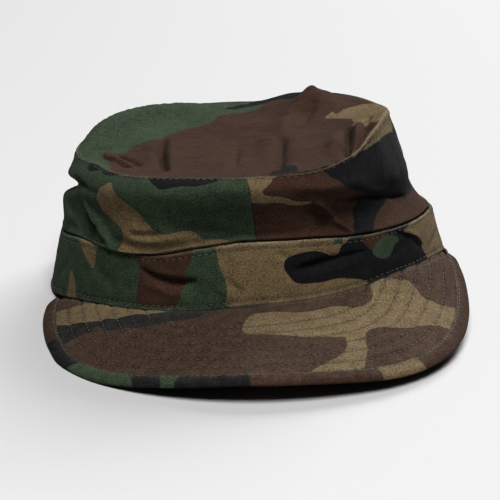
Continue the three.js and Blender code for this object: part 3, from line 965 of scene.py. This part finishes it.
PEAK_EDGE = (
    # turn, out, up of its underside
    (-74, 93.4, -0.7),
    (-72.5, 97, -0.7),
    (-70, 100.4, -0.7),
    (-65, 104.8, -0.7),
    (-55, 114.2, -0.7),
    (-45, 125.8, -0.7),
    (-38, 135, -0.7),
    (-30, 141.6, -0.7),
    (-22, 146, 1.2),
    (-15, 149, 4),
    (-8, 151.4, 6.6),
    (0, 152.6, 8.4),
    (8, 151.6, 7.9),
    (15, 150, 6.6),
    (22, 148.4, 5),
    (30, 144.2, 4),
    (38, 137.2, 4),
    (45, 129.2, 4.4),
    (55, 118, 6),
    (65, 108.2, 9.5),
    (75, 100, 14),
    (78, 97, 16.5),
    (81, 93, 15.5),
    (84, 89.5, 13.5),
)

PEAK_PATCHES = (
    ("tan", (
        (-100, -48), (-78, -55), (-74, -55), (-60, -70), (-39, -83), (-38, -85), (-46, -83),
        (-51, -81), (-61, -81), (-64, -78), (-68, -79), (-74, -76), (-80, -74), (-89, -66),
        (-100, -60),
    )),
    ("black", (
        (-100, -60), (-89, -66), (-80, -74), (-74, -76), (-68, -79), (-64, -78), (-61, -81),
        (-51, -81), (-46, -83), (-38, -85), (-30, -82), (-14, -86), (3, -88), (3, -95), (-7, -93),
        (-17, -91), (-20, -92), (-25, -95), (-35, -94), (-40, -94), (-47, -94), (-52, -93),
        (-56, -90), (-58, -92), (-62, -91), (-65, -88), (-67, -85), (-69, -83), (-70, -87),
        (-73, -88), (-78, -90), (-82, -91), (-90, -92), (-100, -80),
    )),
    ("tan", (
        (-4, -108), (-3, -104), (0, -100), (8, -99), (20, -99), (26, -98), (32, -95), (38, -93),
        (46, -93), (51, -89), (53, -83), (52, -80), (51, -76), (59, -71), (66, -70), (69, -69),
        (72, -70), (73, -73), (76, -76), (80, -75), (84, -75), (98, -60), (100, -82), (81, -91),
        (74, -96), (67, -101), (60, -103), (55, -104), (50, -107), (48, -112), (48, -118),
        (49, -123), (47, -131), (45, -141), (30, -144), (23, -143), (28, -138), (32, -134),
        (36, -131), (39, -126), (40, -123), (40, -118), (39, -115), (35, -116), (30, -116),
        (22, -118), (7, -117), (-2, -117), (-4, -114),
    )),
)

peak_out, peak_up = (curve_through(PEAK_EDGE, column, closed=False) for column in (1, 2))


def from_axis(plan):
    """How far points lie from the crown's axis, as x and y."""
    return plan[..., 0] - CROWN_AXIS[0], plan[..., 1] - CROWN_AXIS[1]


def from_ends(turn, ends):
    """How far points lie from the nearer end of the peak or its binding."""
    return np.minimum(turn - ends[0], ends[1] - turn) * END_PER_DEGREE


def peak_edge(turn, inset):
    """Points of the peak's edge moved square to it, inwards in plan, as x and y."""
    turn = np.asarray(turn, float)
    here, ahead, behind = (place(t, peak_out(t), 0.0)[..., :2] for t in (turn, turn + 0.5, turn - 0.5))
    run = ahead - behind
    inward = np.stack((-run[..., 1], run[..., 0]), axis=-1)
    inward = inward / np.linalg.norm(inward, axis=-1, keepdims=True)
    return here + inward * np.asarray(inset, float)[..., None]


rim_turns = np.linspace(PEAK_EDGE[0][0], PEAK_EDGE[-1][0], 400)
peak_rim = peak_edge(rim_turns, np.zeros(len(rim_turns)))


def inset_of(plan):
    """How far a point of the peak lies in from its edge."""
    flat = plan.reshape(-1, 2)
    nearest = np.full(len(flat), 1e9)
    for a, b in zip(peak_rim[:-1], peak_rim[1:]):
        t = np.clip((flat - a) @ (b - a) / ((b - a) @ (b - a)), 0, 1)
        nearest = np.minimum(nearest, np.hypot(*(flat - a - t[:, None] * (b - a)).T))
    return nearest.reshape(plan.shape[:-1])


def peak_surface(plan, inset):
    """The height of the peak's upper face."""
    x, y = from_axis(plan)
    turn = turn_of(x, y)
    reach = np.maximum(peak_out(turn) - rim_out(turn), 5)
    share = (np.hypot(x, y) - rim_out(turn)) / reach
    camber = PEAK_CAMBER * (reach / PEAK_REACH) ** 2 * 4 * share * (1 - share)
    under = root_up(turn) + (peak_up(turn) - root_up(turn)) * share + camber
    settle = EDGE_SETTLE * ridge(inset, 9)
    rise = ROOT_RISE * ridge(share * reach, 12) * np.minimum(1, 2 * reach / PEAK_REACH)
    return under + PEAK_FACE_UP - settle + rise


peak_turn = np.linspace(*PEAK_ENDS, PEAK_COLUMNS)[None, :]
peak_share = np.linspace(0, 1, PEAK_ROWS)[:, None]
peak_turn, peak_share = np.broadcast_arrays(peak_turn, peak_share)
peak_root = place(peak_turn, rim_out(peak_turn) - ROOT_UNDER_BAND, 0.0)[..., :2]
peak_plan = peak_edge(peak_turn, np.full(peak_turn.shape, CLOTH_IN_BINDING))
peak_plan = peak_plan + (peak_root - peak_plan) * peak_share[..., None]
peak_inset = inset_of(peak_plan)
between_rows = (peak_inset - FIRST_ROW + ROW_PITCH / 2) % ROW_PITCH - ROW_PITCH / 2
row_number = (peak_inset - FIRST_ROW) / ROW_PITCH
quilted = (row_number > -0.5) & (row_number < ROWS_OF_STITCHES - 0.5)
peak_height = peak_surface(peak_plan, peak_inset)
peak_along = peak_turn * 2.2
peak_height = peak_height - np.where(quilted, ROW_DIP * ridge(between_rows, 0.8), 0)
peak_height = peak_height + np.where(quilted, 0.13 * pucker(peak_along, between_rows, 2.2), 0)
peak_points = np.concatenate((peak_plan, peak_height[..., None]), axis=-1)
peak_points[..., 2] += rumple(peak_points, (0.35, 26), (0.14, 8))
peak_points[..., 2] = np.maximum(peak_points[..., 2], PEAK_BOARD + 0.05)
from_root = np.linalg.norm(peak_plan - peak_root, axis=-1)
from_front_edge = np.linalg.norm(peak_plan - peak_plan[:1], axis=-1)
peak_margin = np.minimum(from_front_edge, np.minimum(from_ends(peak_turn, PEAK_ENDS), from_root))
peak_x, peak_y = from_axis(peak_plan)
peak_print = printed("brown", PEAK_PATCHES, peak_x, peak_y)
peak = make_cloth(
    "peak_cloth",
    peak_points,
    peak_margin,
    PEAK_BOARD,
    peak_x + PEAK_IN_WEAVE,
    peak_y,
    np.where(quilted, between_rows, FAR_FROM_STITCHES),
    peak_print,
    scattered_print(peak_points),
    worn=PEAK_PAINTED_SHEEN,
)
peak.data.materials.append(TWILL_FACE)
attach(peak, "root")
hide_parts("peak")


# The peak's binding
# A narrow strip of the same twill, folded over the peak's edge and sewn through with the first row.

BINDING_THICKNESS = 0.7
BINDING_WIDTH = 5.7
# A painted sheen pales the whole binding's colour towards the pale tint by this much.
BINDING_PAINTED_SHEEN = 0.2
BINDING_ENDS = (-73.5, 83.5)
BINDING_COLUMNS = 300
BINDING_IN_WEAVE = 300
CLEAR_OF_RIM = 0.6
FOLD_RADIUS = 1.35

# Heights of the folded strip from the peak's upper face: below it, round its edge, and above it.
STRIP_BELOW = -1.9
STRIP_ROUND = -0.55
STRIP_ABOVE = 0.8
STRIP_TUCK = 0.25

BINDING_PATCHES = (
    ("black", (
        (-47, 9), (-46.5, 0.1), (-48.5, -6), (-42, -6), (-36, -6), (-34, 2.6), (-33.2, 4.8),
        (-35, 9), (-40, 9),
    )),
    ("green", (
        (-33.5, 9), (-35.8, -2), (-34, -6), (-26, -6), (-18.2, -6), (-19.8, -0.3), (-21, 1.8),
        (-21.2, 9),
    )),
    ("black", (
        (-21.2, 9), (-21, 2.2), (-19.8, -0.3), (-18.2, -6), (-12, -6), (0, -6), (-0.5, 3.1), (0, 9),
        (-12, 9),
    )),
    ("green", ((-16.2, 9), (-14.8, 0), (-14.2, -2.3), (-12.5, -2.4), (-12.2, 0), (-12, 9))),
    ("tan", ((21.5, 9), (29.8, 9), (30.5, 1.1), (31.8, -6), (26.5, -6), (21.2, -6), (21.5, -0.2))),
)

binding_turn = np.linspace(*BINDING_ENDS, BINDING_COLUMNS)
band_foot = place(binding_turn, rim_out(binding_turn), 0.0)[..., :2]
outer_edge = peak_edge(binding_turn, np.zeros(BINDING_COLUMNS))
room = np.linalg.norm(outer_edge - band_foot, axis=-1) - CLEAR_OF_RIM
flat_width = np.minimum(BINDING_WIDTH, room)[None, :] - FOLD_RADIUS
run_in = np.array([1, 0.97, 0.92, 0.8, 0.65, 0.5, 0.3, 0.15])
round_edge = np.radians(np.linspace(-90, 90, 13))
round_inset = FOLD_RADIUS * (1 - np.cos(round_edge))
binding_inset = np.concatenate(
    (
        FOLD_RADIUS + run_in[:, None] * flat_width,
        np.repeat(round_inset[:, None], BINDING_COLUMNS, axis=1),
        FOLD_RADIUS + run_in[::-1, None] * flat_width,
    )
)
binding_lift = np.concatenate(
    (
        np.full(len(run_in), STRIP_BELOW),
        STRIP_ROUND + FOLD_RADIUS * np.sin(round_edge),
        STRIP_ABOVE - STRIP_TUCK * run_in[::-1] ** 4,
    )
)[:, None]
binding_turns = np.broadcast_to(binding_turn, binding_inset.shape)
binding_plan = peak_edge(binding_turns, binding_inset)
binding_up = peak_surface(binding_plan, binding_inset) + binding_lift
binding_along = binding_turns * 2.4
on_top = np.clip(binding_lift + 0.3, 0, 1)
binding_up = binding_up + on_top * 0.12 * pucker(binding_along, binding_inset - FIRST_ROW, 2.5)
binding_up = np.maximum(binding_up, 0)
binding_points = np.concatenate((binding_plan, binding_up[..., None]), axis=-1)
binding_points[..., 2] += rumple(binding_points, (0.1, 5)) * on_top
section_steps = np.linalg.norm(np.diff(binding_points, axis=0), axis=-1)
binding_across = np.concatenate((np.zeros((1, BINDING_COLUMNS)), np.cumsum(section_steps, axis=0)))
from_sides = np.minimum(binding_across, binding_across[-1:] - binding_across)
binding_margin = np.minimum(from_sides, from_ends(binding_turns, BINDING_ENDS))
face_or_back = np.sign(binding_lift + 0.6)
binding_print = printed("brown", BINDING_PATCHES, binding_turns, binding_inset * face_or_back)
binding = make_cloth(
    "peak_binding_cloth",
    binding_points,
    binding_margin,
    BINDING_THICKNESS,
    binding_along,
    binding_across + BINDING_IN_WEAVE,
    np.where(binding_lift > 0, binding_inset - FIRST_ROW, FAR_FROM_STITCHES),
    binding_print,
    binding_print,
    worn=BINDING_PAINTED_SHEEN,
)
binding.data.materials.append(TWILL_FACE)
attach(binding, "root")
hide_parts("peak_binding")


# The stitching
# Lockstitches of grey-green thread, about eight to the inch, sewn through the cloth by machine.
# They run round the peak, on the peak beside the band, along the band's folds and below the top seam.

STITCH_PITCH = 3.1
STITCH_LENGTH = 2.2
THREAD_WIDTH = 0.34
THREAD_UP = 0.02
STITCH_STEP = 0.3
BESIDE_BAND = 1.4
BESIDE_BAND_FROM, BESIDE_BAND_TO = 8, 70

bpy.ops.object.select_all(action="DESELECT")
bpy.ops.mesh.primitive_uv_sphere_add(segments=6, ring_count=4, radius=0.5, rotation=(0, np.pi / 2, 0))
pattern_stitch = bpy.context.object
bpy.ops.object.transform_apply(rotation=True)
bpy.ops.transform.resize(value=(STITCH_LENGTH, THREAD_WIDTH, THREAD_WIDTH))
bpy.ops.object.transform_apply(scale=True)
stitch_points = np.array([v.co[:] for v in pattern_stitch.data.vertices])
stitch_faces = [tuple(face.vertices) for face in pattern_stitch.data.polygons]
bpy.ops.object.delete()

thread = bpy.data.materials.new("sewing thread")
thread.use_nodes = True
thread_shader = thread.node_tree.nodes["Principled BSDF"]
thread_place = node(thread, "ShaderNodeTexCoord", {}).outputs["Object"]
thread_tone = uneven(thread, thread_place, 700, 2)
thread_colour = mixed(thread, thread_tone, srgb(36, 39, 30), srgb(84, 84, 67))
thread.node_tree.links.new(thread_colour, thread_shader.inputs["Base Color"])
thread_shader.inputs["Roughness"].default_value = 0.75
thread_shader.inputs["Sheen Weight"].default_value = 0.2


def sew(name, surface, paths):
    """Rows of stitches laid on a surface of cloth; each path is a line of points close to it."""
    points = surface.reshape(-1, 3)
    facing = normals_of(surface).reshape(-1, 3)
    tree = kdtree.KDTree(len(points))
    for index, point in enumerate(points):
        tree.insert(point, index)
    tree.balance()
    verts, faces = [], []
    for path in paths:
        run = np.concatenate(([0], np.cumsum(np.linalg.norm(np.diff(path, axis=0), axis=1))))
        for at in np.arange(STITCH_PITCH / 2, run[-1] - STITCH_PITCH / 2, STITCH_PITCH):
            here, ahead = (
                np.array([np.interp(length, run, path[:, k]) for k in range(3)])
                for length in (at, at + STITCH_STEP)
            )
            index = tree.find(here)[1]
            normal = facing[index]
            here = here + normal * ((points[index] - here) @ normal)
            forward = ahead - here
            forward = forward - normal * (forward @ normal)
            forward = forward / np.linalg.norm(forward)
            turned = np.stack((forward, np.cross(normal, forward), normal))
            faces += [tuple(len(verts) + v for v in face) for face in stitch_faces]
            verts += list((here + normal * THREAD_UP + stitch_points @ turned) * MILLIMETRE)
    mesh = bpy.data.meshes.new(name)
    mesh.from_pydata(verts, [], faces)
    for polygon in mesh.polygons:
        polygon.use_smooth = True
    piece = bpy.data.objects.new(name, mesh)
    bpy.context.collection.objects.link(piece)
    mesh.materials.append(thread)
    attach(piece, "root")


def along_peak(plan, inset):
    """A path on the peak's upper face, over the points of a plan."""
    return np.concatenate((plan, peak_surface(plan, inset)[:, None]), axis=1)


peak_rows = []
for row in range(ROWS_OF_STITCHES):
    inset = FIRST_ROW + row * ROW_PITCH
    turns = np.arange(-72, 78, 0.5)
    plan = peak_edge(turns, np.full(len(turns), inset))
    x, y = from_axis(plan)
    turn_there = turn_of(x, y)
    clear_of_band = np.hypot(x, y) > rim_out(turn_there) + 0.8
    plan = plan[clear_of_band & (turn_there > PEAK_ENDS[0]) & (turn_there < PEAK_ENDS[1])]
    peak_rows.append(along_peak(plan, np.full(len(plan), inset)))
beside_band = np.arange(BESIDE_BAND_FROM, BESIDE_BAND_TO + 0.1, 0.5)
plan = place(beside_band, rim_out(beside_band) + BESIDE_BAND, 0.0)[..., :2]
peak_rows.append(along_peak(plan, inset_of(plan)))
sew("binding_stitching", binding_points, peak_rows[:1])
sew("peak_stitching", peak_points, peak_rows[1:])

all_round = np.linspace(-180, 180, 721)
low_row = STITCHES_FROM_EDGE / BAND_CUT_HEIGHT
band_rows = [band_point(all_round, np.full(len(all_round), share)) for share in (low_row, 1 - low_row)]
sew("band_stitching", band_face, band_rows)

seam_row = 1 - STITCHES_FROM_EDGE / PANEL_CUT_HEIGHT
for name, side, face in (("side_panel_left", -1, left_face), ("side_panel_right", 1, right_face)):
    turns = np.linspace(front_seam_turn(seam_row) + side * 0.6, side * 179, 361)
    sew(name + "_stitching", face, [panel_point(turns, np.full(len(turns), seam_row))])


# The studio
# A plain near-white table and two broad soft lights, one high in front and one low behind at the right.
# The whole room adds a little pale light, and the camera looks down on the peak.

TABLE_SIZE = 16
TABLE_BELOW = 0.0003
CAMERA_AT = (-0.0026, -0.9564, 0.349)
CAMERA_TILT = 71.4

bpy.ops.object.select_all(action="DESELECT")
bpy.ops.mesh.primitive_plane_add(size=TABLE_SIZE, location=(0, 0, -TABLE_BELOW))
table = bpy.context.object
table.name = "table"
bpy.ops.object.transform_apply(location=True)
table_paint = bpy.data.materials.new("matt white table")
table_paint.use_nodes = True
table_shader = table_paint.node_tree.nodes["Principled BSDF"]
table_shader.inputs["Base Color"].default_value = (0.42, 0.417, 0.417, 1)
table_shader.inputs["Roughness"].default_value = 0.9
table.data.materials.append(table_paint)

SOFT_LIGHTS = (
    # name, x, y, up, side, watts
    ("front_soft_box", 0.1, -1.75, 2.75, 1.4, 143),
    ("rear_soft_box", 1.1, 2.0, 1.8, 1.7, 84),
)
for name, x, y, up, side_length, watts in SOFT_LIGHTS:
    bpy.ops.object.light_add(type="AREA", location=(x, y, up))
    soft_box = bpy.context.object
    soft_box.name = name
    soft_box.data.size = side_length
    soft_box.data.energy = watts
    soft_box.rotation_euler = Vector((x, y, up)).to_track_quat("Z", "Y").to_euler()

studio = bpy.data.worlds.new("pale studio")
studio.use_nodes = True
studio.node_tree.nodes["Background"].inputs["Color"].default_value = (1, 1, 1, 1)
studio.node_tree.nodes["Background"].inputs["Strength"].default_value = 0.05
bpy.context.scene.world = studio
bpy.context.scene.view_settings.view_transform = "Standard"
bpy.context.scene.view_settings.look = "Medium High Contrast"

bpy.ops.object.camera_add(location=CAMERA_AT, rotation=(np.radians(CAMERA_TILT), 0, 0))
camera = bpy.context.object
camera.data.sensor_width = 36
camera.data.lens = 158.4
bpy.context.scene.camera = camera
